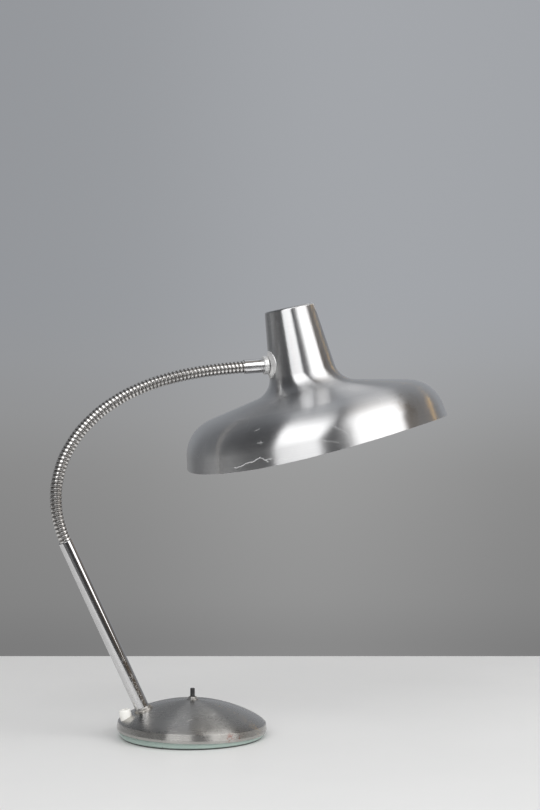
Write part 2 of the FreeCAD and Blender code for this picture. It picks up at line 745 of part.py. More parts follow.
def make_lampholder(shade_at):
    cap_bottom = bracket_top_height - seat_gap - holder_cap_height
    shell_top = cap_bottom - seat_gap
    core_bottom = shell_top - holder_core_height
    thread_bottom = core_bottom - seat_gap - bulb_cap_length
    contact_bottom = thread_bottom + bulb_cap_length - contact_height
    inner_radius = holder_radius - holder_wall
    sleeve_radius = bulb_cap_radius + thread_gap + thread_wall
    nut_bottom = bracket_top_height + bracket_thickness + seat_gap
    nipple_bottom = nut_bottom + holder_nipple_tail - holder_nipple_length
    ring_bottom = thread_bottom + thread_rise
    sleeve = tube(sleeve_radius, sleeve_radius - thread_wall, ring_bottom, bulb_cap_length - thread_rise)
    ring = tube(inner_radius - seat_gap, sleeve_radius + seat_gap, ring_bottom, holder_ring_height)
    cap_top = contact_bottom - seat_gap
    bulb_cap = bulb_cap_block(thread_bottom, cap_top, 0).cut(bulb_cap_block(thread_bottom, cap_top, bulb_cap_wall))
    glass_top = thread_bottom - seat_gap
    glass = bulb_block(glass_top, 0).cut(bulb_block(glass_top, bulb_wall))
    pieces = {
        "holder_nipple": tube(nipple_radius, nipple_bore, nipple_bottom, holder_nipple_length),
        "holder_nut": hex_nut(holder_nut_across, nipple_hole_radius, nut_bottom, holder_nut_height),
        "holder_cap": make_holder_cap(cap_bottom),
        "holder_shell": tube(holder_radius, inner_radius, shell_top - holder_length, holder_length),
        "holder_core": rod(inner_radius - holder_core_gap, core_bottom, holder_core_height),
        "holder_ring": ring,
        "holder_thread": sleeve,
        "holder_contact": rod(contact_radius, contact_bottom, contact_height),
        "bulb_cap": bulb_cap,
        "bulb_glass": glass,
    }
    for name, shape in pieces.items():
        export(name, at(shape, shade_at))


arcs = neck_arcs()
shade_at = shade_place(arcs)
export("felt_pad", rod(felt_radius, 0, felt_thickness))
export("base_weight", make_weight())
export("base_cover", make_cover())
make_stem_pieces()
make_switch_pieces()
make_gland_pieces()
make_neck(arcs)
make_swivel_pieces(arcs, shade_at)
make_shade(arcs, shade_at)
make_lampholder(shade_at)
end_point = neck_frame(arcs, neck_length)[0]
print("least gap between turns of the winding: %.2f mm" % least_gap(arcs))
print("neck ends at (%.1f, %.1f), heading %.2f degrees" % (end_point.x, end_point.z, neck_end_heading(arcs)))
print("shade rim centre at (%.1f, %.1f)" % (shade_at.Base.x, shade_at.Base.z))
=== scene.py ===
import json
import math

import bpy
from mathutils import Matrix, Vector

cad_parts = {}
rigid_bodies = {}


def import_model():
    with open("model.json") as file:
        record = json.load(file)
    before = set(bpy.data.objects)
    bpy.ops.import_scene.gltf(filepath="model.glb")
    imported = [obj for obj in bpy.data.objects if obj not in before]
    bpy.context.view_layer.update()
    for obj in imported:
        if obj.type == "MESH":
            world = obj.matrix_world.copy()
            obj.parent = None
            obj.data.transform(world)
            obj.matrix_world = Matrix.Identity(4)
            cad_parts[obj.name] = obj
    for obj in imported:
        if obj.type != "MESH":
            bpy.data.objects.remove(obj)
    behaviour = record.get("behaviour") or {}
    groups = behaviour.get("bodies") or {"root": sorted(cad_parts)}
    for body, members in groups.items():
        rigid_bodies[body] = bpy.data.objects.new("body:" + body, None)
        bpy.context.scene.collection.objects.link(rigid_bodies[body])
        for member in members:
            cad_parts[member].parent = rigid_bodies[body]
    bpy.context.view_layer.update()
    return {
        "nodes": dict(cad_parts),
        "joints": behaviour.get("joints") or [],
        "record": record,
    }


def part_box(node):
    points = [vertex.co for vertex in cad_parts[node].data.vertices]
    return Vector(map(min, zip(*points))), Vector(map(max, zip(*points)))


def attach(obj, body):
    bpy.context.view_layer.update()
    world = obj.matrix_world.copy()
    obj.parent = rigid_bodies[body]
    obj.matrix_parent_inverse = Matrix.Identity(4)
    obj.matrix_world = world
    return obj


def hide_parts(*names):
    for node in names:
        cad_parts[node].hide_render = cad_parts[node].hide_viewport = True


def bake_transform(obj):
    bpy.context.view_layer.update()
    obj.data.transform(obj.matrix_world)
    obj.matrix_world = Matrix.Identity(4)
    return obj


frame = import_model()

nodes = frame["nodes"]
joints = {joint["name"]: joint for joint in frame["joints"]}
print("frame loaded:", len(nodes), "nodes")


# Modelling helpers

def pickOnly(piece):
    bpy.ops.object.select_all(action="DESELECT")
    piece.select_set(True)
    bpy.context.view_layer.objects.active = piece


def applyModifiers(piece):
    pickOnly(piece)
    for modifier in list(piece.modifiers):
        bpy.ops.object.modifier_apply(modifier=modifier.name)


def smoothOver(piece, angleDeg=35):
    # smooth shading whose small rounded edges don't tilt the light on the large faces beside them
    pickOnly(piece)
    bpy.ops.object.shade_smooth_by_angle(angle=math.radians(angleDeg))
    even = piece.modifiers.new("evenShading", "WEIGHTED_NORMAL")
    even.keep_sharp = True
    applyModifiers(piece)


def arcPoints(corner, before, after, rounding, steps):
    # points of the arc that rounds a corner between its two neighbours
    one = (Vector(before) - Vector(corner)).normalized()
    two = (Vector(after) - Vector(corner)).normalized()
    half = one.angle(two) / 2
    reach = rounding / math.tan(half)
    centre = Vector(corner) + (one + two).normalized() * rounding / math.sin(half)
    first = Vector(corner) + one * reach - centre
    last = Vector(corner) + two * reach - centre
    turn = first.angle(last)
    points = []
    for step in range(steps + 1):
        share = step / steps
        mixed = first * math.sin((1 - share) * turn) + last * math.sin(share * turn)
        points.append(centre + mixed / math.sin(turn))
    return points


def roundedOutline(corners, closed=True, steps=5):
    # corners are (radius, height) or (radius, height, rounding)
    outline = []
    for index, corner in enumerate(corners):
        place = Vector(corner[:2])
        ends = not closed and index in (0, len(corners) - 1)
        if len(corner) == 2 or ends:
            outline.append(place)
            continue
        before = Vector(corners[index - 1][:2])
        after = Vector(corners[(index + 1) % len(corners)][:2])
        outline += arcPoints(place, before, after, corner[2], steps)
    return outline


def turnedPiece(name, outline, around=96, closed=True):
    # a ring of edges is extruded and scaled from one point of the outline to the next
    tiny = 1e-7
    bpy.ops.object.select_all(action="DESELECT")
    radius, height = outline[0]
    bpy.ops.mesh.primitive_circle_add(vertices=around, radius=max(radius, tiny))
    piece = bpy.context.object
    piece.name = piece.data.name = name
    bpy.ops.object.mode_set(mode="EDIT")
    bpy.ops.mesh.select_all(action="SELECT")
    bpy.ops.transform.translate(value=(0, 0, height))
    stations = list(outline[1:]) + ([outline[0]] if closed else [])
    for newRadius, newHeight in stations:
        scale = max(newRadius, tiny) / max(radius, tiny)
        bpy.ops.mesh.extrude_region_move(TRANSFORM_OT_translate={"value": (0, 0, newHeight - height)})
        bpy.ops.transform.resize(value=(scale, scale, 1), center_override=(0, 0, newHeight))
        radius, height = newRadius, newHeight
    bpy.ops.mesh.select_all(action="SELECT")
    bpy.ops.mesh.remove_doubles(threshold=2e-6)
    bpy.ops.mesh.normals_make_consistent(inside=False)
    bpy.ops.object.mode_set(mode="OBJECT")
    return piece


def standOn(piece, origin, direction=(0, 0, 1)):
    # turns the piece's own Z to a direction, moves it and puts its place in its mesh
    turn = Vector((0, 0, 1)).rotation_difference(Vector(direction)).to_matrix().to_4x4()
    piece.data.transform(Matrix.Translation(Vector(origin)) @ turn)
    piece.data.update()


def dress(piece, material):
    piece.data.materials.clear()
    piece.data.materials.append(material)


# Shader maths: one socket, with sums written as Python

class Wire:
    def __init__(self, tree, socket):
        self.tree = tree
        self.socket = socket

    def maths(self, operation, first, second=None):
        node = self.tree.nodes.new("ShaderNodeMath")
        node.operation = operation
        for place, value in enumerate((first, second)):
            if isinstance(value, Wire):
                self.tree.links.new(value.socket, node.inputs[place])
            elif value is not None:
                node.inputs[place].default_value = value
        return Wire(self.tree, node.outputs[0])

    def __add__(self, other):
        return self.maths("ADD", self, other)

    def __radd__(self, other):
        return self.maths("ADD", other, self)

    def __sub__(self, other):
        return self.maths("SUBTRACT", self, other)

    def __rsub__(self, other):
        return self.maths("SUBTRACT", other, self)

    def __mul__(self, other):
        return self.maths("MULTIPLY", self, other)

    def __rmul__(self, other):
        return self.maths("MULTIPLY", other, self)

    def __truediv__(self, other):
        return self.maths("DIVIDE", self, other)

    def __rtruediv__(self, other):
        return self.maths("DIVIDE", other, self)

    def __pow__(self, other):
        return self.maths("POWER", self, other)

    def __rpow__(self, other):
        return self.maths("POWER", other, self)

    def tinted(self, strength):
        # a colour times a number
        node = self.tree.nodes.new("ShaderNodeVectorMath")
        node.operation = "SCALE"
        self.tree.links.new(self.socket, node.inputs[0])
        self.tree.links.new(strength.socket, node.inputs["Scale"])
        return Wire(self.tree, node.outputs[0])


class Nodes:
    def __init__(self, tree):
        self.tree = tree

    def add(self, kind, settings=None, values=None, output=0):
        node = self.tree.nodes.new(kind)
        for name, value in (settings or {}).items():
            if name == "stops":
                for place, (position, grey) in enumerate(value):
                    if place > 1:
                        node.color_ramp.elements.new(position)
                    stop = node.color_ramp.elements[place]
                    stop.position = position
                    stop.color = (grey, grey, grey, 1)
            else:
                setattr(node, name, value)
        for name, value in (values or {}).items():
            if isinstance(value, Wire):
                self.tree.links.new(value.socket, node.inputs[name])
            else:
                node.inputs[name].default_value = value
        return Wire(self.tree, node.outputs[output])

    def place(self, origin=(0, 0, 0), tiltDeg=0):
        # object coordinates about a point, with the axis of a tilted piece upright
        here = self.add("ShaderNodeTexCoord", output=3)
        moved = self.add("ShaderNodeMapping", None, {"Vector": here, "Location": [-v for v in origin]})
        if not tiltDeg:
            return moved
        tilt = (0, math.radians(tiltDeg), 0)
        return self.add("ShaderNodeMapping", None, {"Vector": moved, "Rotation": tilt})

    def split(self, vector):
        return [self.add("ShaderNodeSeparateXYZ", None, {"Vector": vector}, output) for output in range(3)]

    def joined(self, x, y, z):
        return self.add("ShaderNodeCombineXYZ", None, {"X": x, "Y": y, "Z": z})

    def noise(self, vector, scale, detail=3.0, roughness=0.5):
        return self.add("ShaderNodeTexNoise", None,
                        {"Vector": vector, "Scale": scale, "Detail": detail, "Roughness": roughness})

    def smooth(self, value, low, high):
        return self.add("ShaderNodeMapRange", {"interpolation_type": "SMOOTHSTEP"},
                        {"Value": value, "From Min": low, "From Max": high})

    def turnOf(self, x, y):
        return self.add("ShaderNodeMath", {"operation": "ARCTAN2"}, {0: y, 1: x})

    def larger(self, one, two):
        return self.add("ShaderNodeMath", {"operation": "MAXIMUM"}, {0: one, 1: two})

    def ramp(self, value, *stops):
        return self.add("ShaderNodeValToRGB", {"stops": stops}, {"Fac": value})

    def softRamp(self, value, *stops):
        eased = self.ramp(value, *stops)
        eased.socket.node.color_ramp.interpolation = "B_SPLINE"
        return eased

    def blend(self, factor, dark, light):
        return self.add("ShaderNodeMix", {"data_type": "RGBA"},
                        {"Factor": factor, 6: dark, 7: light}, 2)


class Finish(Nodes):
    # a material; the fixed numbers go on its shader's own sockets
    def __init__(self, name, fixed):
        self.material = bpy.data.materials.new(name)
        self.material.use_nodes = True
        super().__init__(self.material.node_tree)
        self.shader = self.tree.nodes["Principled BSDF"]
        for socket, value in fixed.items():
            self.shader.inputs[socket].default_value = value

    def feed(self, **wires):
        for name, wire in wires.items():
            self.tree.links.new(wire.socket, self.shader.inputs[name.replace("_", " ")])

    def bump(self, height, distance, strength=1.0):
        self.feed(Normal=self.add("ShaderNodeBump", None,
                                  {"Height": height, "Distance": distance, "Strength": strength}))


def colour(red, green, blue):
    return (red, green, blue, 1.0)


# Turned metal: fine rings round an axis, faint cloudy wear, scratches and stains

def hairline(finish, along, up, points, width):
    # a drawn scratch through points; all measures in millimetres
    line = None
    for (startAlong, startUp), (endAlong, endUp) in zip(points, points[1:]):
        runAlong = endAlong - startAlong
        runUp = endUp - startUp
        square = runAlong ** 2 + runUp ** 2
        share = (along - startAlong) * (runAlong / square) + (up - startUp) * (runUp / square)
        share = finish.add("ShaderNodeMapRange", None, {"Value": share})
        offAlong = along - startAlong - share * runAlong
        offUp = up - startUp - share * runUp
        off = (offAlong * offAlong + offUp * offUp) ** 0.5
        mark = 1 - finish.smooth(off, width * 0.3, width)
        line = mark if line is None else finish.larger(line, mark)
    return line


def turnedMetal(name, look, origin=(0, 0, 0), tiltDeg=0):
    finish = Finish(name, {"Anisotropic": look["brush"], "Anisotropic Rotation": 0.25})
    here = finish.place(origin, tiltDeg)
    x, y, z = finish.split(here)
    radius = (x * x + y * y) ** 0.5
    across = finish.joined(radius * look["ringScale"], z * look["ringScale"], x * look["ringBreak"])
    rings = finish.add("ShaderNodeTexNoise", {"noise_dimensions": "4D"},
                       {"Vector": across, "W": y * look["ringBreak"], "Scale": 1.0, "Detail": 4.0,
                        "Roughness": 0.7})
    cloud = finish.noise(here, look["cloudScale"], 4.0, 0.6)
    scratchField = finish.noise(here, look["scratchScale"], 2.0, 0.5)
    scratch = finish.ramp(scratchField, (0.0, 0.0), (0.494, 0.0), (0.5, 1.0), (0.506, 0.0))
    worn = finish.ramp(cloud, (0.48, 0.0), (0.64, 1.0))
    scratch = scratch * worn * look["scratches"]
    along = finish.turnOf(x, y) * (look["markRadius"] * 1000)
    up = z * 1000
    bared = None
    for mark in look["marks"]:
        points = [(math.radians(turn) * look["markRadius"] * 1000, height) for turn, height in mark["points"]]
        wobble = (finish.noise(here, 420.0, 2.0, 0.6) - 0.5) * mark["wobble"]
        line = hairline(finish, along + wobble, up + wobble, points, mark["width"]) * mark["strength"]
        bared = line if bared is None else finish.larger(bared, line)
    scratch = finish.larger(scratch, bared)
    shade = finish.blend(cloud * 0.6 + rings * 0.4, look["dark"], look["light"])
    shade = finish.blend(scratch, shade, look["bare"])
    for stain in look["stains"]:
        turn = math.radians(stain["turnDeg"])
        spot = (stain["radius"] * math.cos(turn), stain["radius"] * math.sin(turn), stain["height"])
        away = finish.add("ShaderNodeVectorMath", {"operation": "DISTANCE"}, {0: here, 1: spot}, 1)
        blotch = finish.smooth(finish.noise(here, stain["grain"], 4.0, 0.65), 0.47, 0.60)
        shade = finish.blend((1 - finish.smooth(away, 0.0, stain["size"])) * blotch * stain["strength"],
                             shade, stain["colour"])
    finish.feed(Base_Color=shade, Metallic=1 - bared * 0.85)
    finish.feed(Roughness=look["rough"] + (rings - 0.5) * look["ringRough"]
                + (cloud - 0.5) * look["cloudRough"] + scratch * 0.2)
    finish.bump(rings * look["ringDepth"] + cloud * look["cloudDepth"] - scratch * 0.3, 0.0001)
    return finish.material


# Plated metal: smooth, with pits, cloudy wear and specks

def platedMetal(name, look):
    finish = Finish(name, {})
    here = finish.place()
    cloud = finish.noise(here, look["cloudScale"], 4.0, 0.6)
    pitField = finish.noise(here, look["pitScale"], 2.0, 0.5)
    pits = finish.smooth(pitField, look["pitFrom"], look["pitFrom"] + 0.06) * look["pits"]
    metal = finish.blend(pits + (1 - cloud) * 0.35, look["light"], look["dark"])
    foot, fadeTo = look.get("speckled", (-2.0, -1.0))
    height = finish.split(here)[2]
    specks = finish.smooth(finish.noise(here, 760.0, 3.0, 0.6), 0.53, 0.60)
    specks = specks * (1 - finish.smooth(height, foot, fadeTo)) * finish.smooth(cloud, 0.42, 0.66) * 0.7
    finish.feed(Base_Color=finish.blend(specks, metal, colour(0.46, 0.45, 0.43)))
    finish.feed(Metallic=look.get("metal", 1.0) - specks * 0.7)
    finish.feed(Roughness=look["rough"] + pits * 0.35 + (cloud - 0.5) * 0.08 + specks * 0.4)
    finish.bump(pits * -0.4 + cloud * 0.15 + specks * 0.3, 0.0001, look["bump"])
    return finish.material


# Painted iron, plastics, felt, glass

def paintedIron(name, look):
    finish = Finish(name, {"Coat Roughness": 0.15, "Coat Weight": 0.4})
    here = finish.place()
    orange = finish.noise(here, look["grainScale"], 3.0, 0.6)
    cloud = finish.noise(here, 28.0, 4.0, 0.6)
    chips = finish.ramp(finish.noise(here, 95.0, 3.0, 0.65), (0.66, 0.0), (0.69, 1.0))
    paint = finish.blend(cloud, look["dark"], look["light"])
    finish.feed(Base_Color=finish.blend(chips, paint, look["metal"]))
    finish.feed(Roughness=look["rough"] + (orange - 0.5) * 0.2 + chips * 0.25)
    finish.bump(orange * 0.5 - chips, 0.00015)
    return finish.material


def mouldedPlastic(name, look):
    finish = Finish(name, {"IOR": 1.5})
    here = finish.place()
    grain = finish.noise(here, look["grainScale"], 3.0, 0.6)
    grime = finish.ramp(finish.noise(here, 120.0, 5.0, 0.6), (0.5, 0.0), (0.72, 1.0))
    finish.feed(Base_Color=finish.blend(grime * look["grime"], look["light"], look["dark"]))
    finish.feed(Roughness=look["rough"] + (grain - 0.5) * 0.15 + grime * 0.1)
    finish.bump(grain, look["grainDepth"])
    return finish.material


def pressedFelt(name, look):
    finish = Finish(name, {"Roughness": 0.95, "Sheen Weight": 0.4})
    here = finish.place()
    fibres = finish.noise(here, 900.0, 6.0, 0.75)
    patches = finish.noise(here, 60.0, 3.0, 0.5)
    finish.feed(Base_Color=finish.blend(fibres * 0.6 + patches * 0.4, look["dark"], look["light"]))
    finish.bump(fibres, 0.0004)
    return finish.material


def frostedGlass(name, look):
    finish = Finish(name, {"IOR": 1.45, "Coat Weight": 0.3, "Coat Roughness": 0.1})
    here = finish.place()
    haze = finish.noise(here, 40.0, 3.0, 0.5)
    finish.feed(Base_Color=finish.blend(haze, look["dark"], look["light"]))
    finish.feed(Roughness=0.28 + haze * 0.15)
    finish.bump(haze, 0.00005)
    return finish.material


coverLook = {"dark": colour(0.33, 0.32, 0.305), "light": colour(0.60, 0.59, 0.57), "rough": 0.27,
             "brush": 0.97, "bare": colour(0.70, 0.69, 0.67), "markRadius": 0.062,
             "ringScale": 1100.0, "ringBreak": 9.0, "cloudScale": 26.0, "scratchScale": 30.0,
             "scratches": 0.6, "ringRough": 0.10, "cloudRough": 0.14, "ringDepth": 0.08, "cloudDepth": 0.10,
             "marks": [{"points": [(-107, 31.0), (-102, 32.4)], "width": 0.45, "wobble": 1.6,
                        "strength": 0.35},
                       {"points": [(-79, 34.2), (-73, 35.6)], "width": 0.4, "wobble": 1.4, "strength": 0.3}],
             "stains": [{"turnDeg": -73, "radius": 0.0905, "height": 0.0125, "size": 0.009, "grain": 330.0,
                         "strength": 0.7, "colour": colour(0.32, 0.12, 0.09)},
                        {"turnDeg": -64, "radius": 0.0905, "height": 0.0110, "size": 0.008, "grain": 360.0,
                         "strength": 0.7, "colour": colour(0.32, 0.14, 0.10)},
                        {"turnDeg": -98, "radius": 0.064, "height": 0.032, "size": 0.007, "grain": 700.0,
                         "strength": 0.5, "colour": colour(0.14, 0.13, 0.12)}]}
shadeLook = {"dark": colour(0.56, 0.56, 0.565), "light": colour(0.84, 0.84, 0.84), "rough": 0.31,
             "brush": 0.97, "bare": colour(0.97, 0.97, 0.97), "markRadius": 0.163,
             "ringScale": 700.0, "ringBreak": 7.0, "cloudScale": 14.0, "scratchScale": 22.0,
             "scratches": 0.5, "ringRough": 0.06, "cloudRough": 0.10, "ringDepth": 0.05, "cloudDepth": 0.20,
             "marks": [{"points": [(-144, 1.0), (-140.5, 1.4), (-137.5, 4.6), (-134, 5.0), (-130.8, 8.6),
                                   (-127.3, 2.0)], "width": 0.6, "wobble": 3.4, "strength": 0.75},
                       {"points": [(-130.8, 8.6), (-128.6, 4.6), (-125.6, 5.2)], "width": 0.5, "wobble": 2.6,
                        "strength": 0.65},
                       {"points": [(-131.3, 25.0), (-128.6, 24.4)], "width": 0.45, "wobble": 1.6,
                        "strength": 0.45},
                       {"points": [(-129.8, 22.8), (-129.6, 27.4)], "width": 0.4, "wobble": 1.6,
                        "strength": 0.4},
                       {"points": [(-133.0, 38.5), (-130.5, 40.5)], "width": 0.4, "wobble": 2.0,
                        "strength": 0.4},
                       {"points": [(-104.7, 15.3), (-97.5, 8.0)], "width": 0.4, "wobble": 2.4,
                        "strength": 0.4},
                       {"points": [(-98.5, 29.0), (-92.8, 15.5)], "width": 0.4, "wobble": 2.4,
                        "strength": 0.35}],
             "stains": [{"turnDeg": -60, "radius": 0.155, "height": 0.033, "size": 0.030, "grain": 90.0,
                         "strength": 0.35, "colour": colour(0.36, 0.30, 0.24)}]}
stemLook = {"light": colour(0.74, 0.74, 0.75), "dark": colour(0.30, 0.29, 0.28), "rough": 0.07,
            "cloudScale": 45.0, "pitScale": 900.0, "pitFrom": 0.64, "pits": 0.3, "bump": 0.3,
            "speckled": (0.05, 0.16)}
# the strip wound between the ribs is made dark, close to black: painted shade in the grooves between the
# bright ribs
grooveShadeLook = {"light": colour(0.30, 0.29, 0.28), "dark": colour(0.12, 0.11, 0.10), "rough": 0.30,
           "cloudScale": 90.0, "pitScale": 1000.0, "pitFrom": 0.60, "pits": 0.4, "bump": 0.2}
saddleLook = {"light": colour(0.84, 0.84, 0.84), "dark": colour(0.50, 0.49, 0.47), "rough": 0.22,
              "metal": 0.45, "cloudScale": 60.0, "pitScale": 900.0, "pitFrom": 0.62, "pits": 0.4, "bump": 0.4}
chromeLook = {"light": colour(0.74, 0.74, 0.75), "dark": colour(0.40, 0.38, 0.36), "rough": 0.09,
              "metal": 0.88, "cloudScale": 60.0, "pitScale": 900.0, "pitFrom": 0.62, "pits": 0.5, "bump": 0.5}
ribLook = {"light": colour(0.76, 0.75, 0.74), "dark": colour(0.40, 0.37, 0.34), "rough": 0.15, "metal": 0.90,
           "cloudScale": 90.0, "pitScale": 1200.0, "pitFrom": 0.62, "pits": 0.3, "bump": 0.2}
nickelLook = {"light": colour(0.62, 0.60, 0.57), "dark": colour(0.34, 0.32, 0.30), "rough": 0.30,
              "cloudScale": 80.0, "pitScale": 900.0, "pitFrom": 0.6, "pits": 0.5, "bump": 0.5}
steelLook = {"light": colour(0.50, 0.51, 0.53), "dark": colour(0.26, 0.25, 0.24), "rough": 0.34,
             "cloudScale": 70.0, "pitScale": 700.0, "pitFrom": 0.55, "pits": 0.6, "bump": 0.6}
coreLook = {"light": colour(0.22, 0.22, 0.22), "dark": colour(0.07, 0.065, 0.06), "rough": 0.42,
            "cloudScale": 90.0, "pitScale": 700.0, "pitFrom": 0.55, "pits": 0.6, "bump": 0.6}
brassLook = {"light": colour(0.70, 0.52, 0.24), "dark": colour(0.32, 0.20, 0.08), "rough": 0.28,
             "cloudScale": 80.0, "pitScale": 600.0, "pitFrom": 0.58, "pits": 0.5, "bump": 0.5}
ironLook = {"dark": colour(0.31, 0.40, 0.36), "light": colour(0.42, 0.52, 0.475),
            "metal": colour(0.16, 0.15, 0.14), "grainScale": 420.0, "rough": 0.38}
bushLook = {"light": colour(0.94, 0.93, 0.89), "dark": colour(0.52, 0.47, 0.38), "rough": 0.32,
            "grainScale": 700.0, "grainDepth": 0.00004, "grime": 0.45}
buttonLook = {"light": colour(0.028, 0.027, 0.028), "dark": colour(0.10, 0.095, 0.09), "rough": 0.42,
              "grainScale": 1500.0, "grainDepth": 0.00005, "grime": 0.7}
holderLook = {"light": colour(0.045, 0.032, 0.025), "dark": colour(0.14, 0.10, 0.08), "rough": 0.36,
              "grainScale": 500.0, "grainDepth": 0.00006, "grime": 0.6}
feltLook = {"dark": colour(0.05, 0.05, 0.05), "light": colour(0.12, 0.12, 0.115)}
glassLook = {"dark": colour(0.74, 0.74, 0.72), "light": colour(0.88, 0.88, 0.86)}


# Shade: its axis and its place follow from the swivel joint

shadeSizes = {"rim": 0.1641, "shoulder": (0.1562, 0.0474), "neckFoot": (0.0436, 0.0716),
              "top": (0.0308, 0.1712), "shoulderRound": 0.046, "neckRound": 0.028, "topRound": 0.003,
              "wall": 0.001, "swivelHeight": 0.107, "saddle": 0.0026, "warp": 0.0044, "warpTurnDeg": -95.0,
              "edge": 0.0003}
swivel = joints["shade_swivel"]
swivelAxis = Vector(swivel["axis"])
neckSlope = ((shadeSizes["top"][0] - shadeSizes["neckFoot"][0])
             / (shadeSizes["top"][1] - shadeSizes["neckFoot"][1]))
shadeTilt = math.atan2(swivelAxis.z, swivelAxis.x) - math.atan(neckSlope)
shadeAxis = Vector((-math.sin(shadeTilt), 0, math.cos(shadeTilt)))
shadeSide = Vector((shadeAxis.z, 0, -shadeAxis.x))
wallRadius = shadeSizes["neckFoot"][0] + (shadeSizes["swivelHeight"] - shadeSizes["neckFoot"][1]) * neckSlope
wallPoint = Vector(swivel["pos_m"]) + swivelAxis * shadeSizes["saddle"]
rimCentre = wallPoint + shadeSide * wallRadius - shadeAxis * shadeSizes["swivelHeight"]

shadeMetal = turnedMetal("spunShade", shadeLook, rimCentre, math.degrees(shadeTilt))
coverMetal = turnedMetal("brushedCover", coverLook)
chrome = platedMetal("chrome", chromeLook)
stemChrome = platedMetal("stemChrome", stemLook)
saddleChrome = platedMetal("saddleChrome", saddleLook)
ribChrome = platedMetal("ribChrome", ribLook)
# dark steel for the groove strip: painted shade between the ribs
grooveShadeSteel = platedMetal("grooveShadeSteel", grooveShadeLook)
satinNickel = platedMetal("satinNickel", nickelLook)
innerSteel = platedMetal("innerSteel", steelLook)
neckCore = platedMetal("neckCore", coreLook)
brass = platedMetal("brass", brassLook)
greenIron = paintedIron("greenIron", ironLook)
whitePlastic = mouldedPlastic("whitePlastic", bushLook)
blackPlastic = mouldedPlastic("blackPlastic", buttonLook)
holderPlastic = mouldedPlastic("holderPlastic", holderLook)
felt = pressedFelt("felt", feltLook)
bulbGlass = frostedGlass("bulbGlass", glassLook)

nodeMetals = {"brushed_cover": coverMetal, "painted_iron": greenIron, "pad": felt, "chrome_parts": chrome,
              "steel_inner": innerSteel, "black_button": blackPlastic, "dark_housing": holderPlastic,
              "white_bush": whitePlastic, "neck_wire": ribChrome, "neck_core": neckCore,
              "spun_shade": shadeMetal, "brass_parts": brass, "holder_body": holderPlastic,
              "bulb_glass": bulbGlass}
slotOf = {part["node"]: part["material_slot"] for part in frame["record"]["subparts"]}
for nodeName, node in nodes.items():
    node.data.materials.clear()
    node.data.materials.append(saddleChrome if nodeName == "swivel_collar" else nodeMetals[slotOf[nodeName]])
print("materials made")


def makeShade():
    size = shadeSizes
    corners = [(size["rim"], 0), (*size["shoulder"], size["shoulderRound"]),
               (*size["neckFoot"], size["neckRound"]), (*size["top"], size["topRound"]), (0, size["top"][1])]
    outline = roundedOutline(corners, closed=False, steps=14)
    shell = turnedPiece("spun_shade_shell", outline, around=160, closed=False)
    wall = shell.modifiers.new("wall", "SOLIDIFY")
    wall.thickness = size["wall"]
    wall.offset = -1
    wall.use_even_offset = True
    edge = shell.modifiers.new("edge", "BEVEL")
    edge.width = size["edge"]
    edge.segments = 2
    edge.limit_method = "ANGLE"
    edge.angle_limit = math.radians(50)
    applyModifiers(shell)
    # the rim is a little out of true: pushed down at one quarter and up at the next
    for vertex in shell.data.vertices:
        turn = math.atan2(vertex.co.y, vertex.co.x) - math.radians(size["warpTurnDeg"])
        fade = max(0.0, 1 - vertex.co.z / size["neckFoot"][1]) ** 1.5
        vertex.co.z += size["warp"] * fade * math.sin(2 * turn)
    standOn(shell, rimCentre, shadeAxis)
    smoothOver(shell, 40)
    dress(shell, shadeMetal)
    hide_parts("shade")
    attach(shell, "shade_body")


saddleSizes = {"radius": 0.0170, "bore": 0.0092, "rim": 0.0009, "shoulder": 0.0150, "crown": 0.0118,
               "thick": 0.0026, "sunk": 0.0003, "step": 0.0001, "rimRound": 0.0004,
               "shoulderRound": 0.0006, "crownRound": 0.0022, "boreRound": 0.0003}


def makeSaddle():
    # a domed washer that wraps round the wall of the shade's neck
    size = saddleSizes
    outline = roundedOutline([(size["bore"], -size["sunk"]), (size["radius"], -size["sunk"]),
                              (size["radius"], size["rim"], size["rimRound"]),
                              (size["shoulder"], size["rim"] + size["step"], size["shoulderRound"]),
                              (size["crown"], size["thick"], size["crownRound"]),
                              (size["bore"], size["thick"], size["boreRound"])])
    saddle = turnedPiece("saddle_dome", outline, around=96)
    for vertex in saddle.data.vertices:
        vertex.co.z -= wallRadius - math.sqrt(wallRadius ** 2 - vertex.co.y ** 2)
    standOn(saddle, wallPoint, -swivelAxis)
    smoothOver(saddle, 40)
    dress(saddle, saddleChrome)
    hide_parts("shade_saddle")
    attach(saddle, "shade_body")


makeShade()
makeSaddle()
print("shade made")


# Gooseneck: each piece runs from the middle of one link to the middle of the next and is curved along the
# neck's centre line through their joint

stemSizes = {"leanDeg": 24.7, "wall": 0.0008, "longer": 0.0080, "round": 0.0005,
             "boreRound": 0.0002}
neckSizes = {"length": 0.371, "joints": 10, "turnsPerLink": 7.75, "radius": 0.0075, "ribWidth": 0.0028,
             "ribDepth": 0.0016, "ribEdge": 0.00045, "stripWidth": 0.0019, "stripDepth": 0.0014,
             "stripDrop": 0.0007, "stripEdge": 0.00065, "core": 0.0056, "coreWall": 0.001, "coreRings": 12,
             "stepsPerTurn": 26}


def neckRoute():
    # the hinges lie on the neck's centre line; its ends are the stem's top and the ferrule
    hinges = [Vector(joint["pos_m"]) for joint in frame["joints"] if joint["name"].startswith("neck_")]
    link = neckSizes["length"] / neckSizes["joints"]
    lean = math.radians(stemSizes["leanDeg"])
    stemAxis = Vector((-math.sin(lean), 0, math.cos(lean)))
    ends = [hinges[0] - stemAxis * link / 2, hinges[-1] + swivelAxis * link / 2]
    return ends[:1] + hinges + ends[1:]


def makeRoute():
    points = neckRoute()
    data = bpy.data.curves.new("neckRoute", "CURVE")
    data.dimensions = "3D"
    data.resolution_u = 24
    line = data.splines.new("BEZIER")
    line.bezier_points.add(len(points) - 1)
    for knot, point in zip(line.bezier_points, points):
        knot.co = point
        knot.handle_left_type = knot.handle_right_type = "AUTO"
    route = bpy.data.objects.new("neckRoute", data)
    bpy.context.scene.collection.objects.link(route)
    return route


